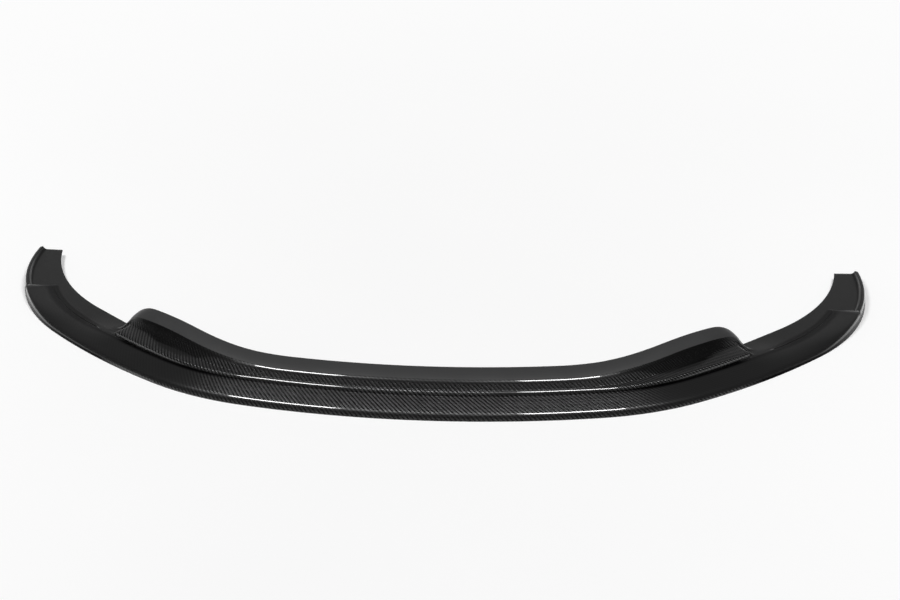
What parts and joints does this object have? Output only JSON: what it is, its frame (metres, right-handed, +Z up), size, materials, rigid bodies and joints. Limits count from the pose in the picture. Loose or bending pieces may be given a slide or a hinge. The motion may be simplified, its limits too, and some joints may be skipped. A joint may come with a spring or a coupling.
{
  "type": "bumper valance lip",
  "caption": "Wraparound carbon-fibre lip shell for the lower edge of a car bumper, with a rim, sloped blade, raised fins, upper flange and sunk wing flanges.",
  "frame": {"origin": "on the floor under the middle of the shell's box, where the rim stands", "axes": "+X across the car, +Y from the front edge towards the open side between the wings, +Z up"},
  "size_m": [1.7026, 0.638, 0.0691],
  "materials": {
    "carbon_laminate": "clear-coated twill carbon laminate, high gloss"
  },
  "bodies": {
    "root": {"valance_lip": "carbon_laminate"}
  },
  "joints": []
}
